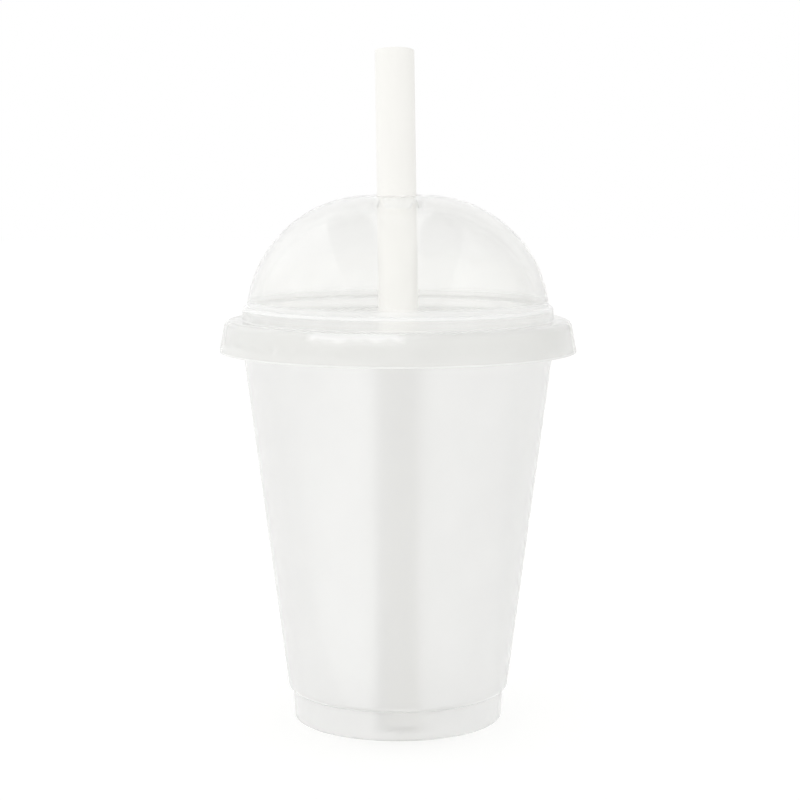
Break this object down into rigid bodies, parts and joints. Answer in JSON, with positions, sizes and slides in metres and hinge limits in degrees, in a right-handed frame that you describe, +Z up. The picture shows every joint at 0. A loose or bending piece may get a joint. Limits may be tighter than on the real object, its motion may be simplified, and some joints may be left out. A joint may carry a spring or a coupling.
{
  "type": "plastic cup with lid",
  "caption": "Tapered frosted plastic drinking cup with a rolled rim, a clear dome lid and a wide straw leaning through a slit opening in its crown.",
  "frame": {"origin": "centre of the cup's foot, in the plane the cup stands on", "axes": "+Z up along the cup's axis; -Y is the front, where the foot of the straw lies; +X is to the right seen from the front"},
  "size_m": [0.0992, 0.0992, 0.1876],
  "materials": {
    "cup": "frosted translucent polypropylene, thin even wall, satin outside",
    "lid": "clear to slightly milky polypropylene, smooth and glossy",
    "straw": "extruded ivory white polypropylene, satin"
  },
  "bodies": {
    "cup": {"cup": "cup"},
    "lid": {"lid": "lid"},
    "straw": {"straw": "straw"}
  },
  "joints": [
    {"name": "lid_lift", "type": "slide", "parent": "cup", "child": "lid", "axis": [0, 0, 1], "range_m": [0, 0.125]},
    {"name": "straw_pull", "type": "slide", "parent": "lid", "child": "straw", "axis": [-0.0148, 0.1507, 0.9885], "range_m": [0, 0.15]}
  ]
}
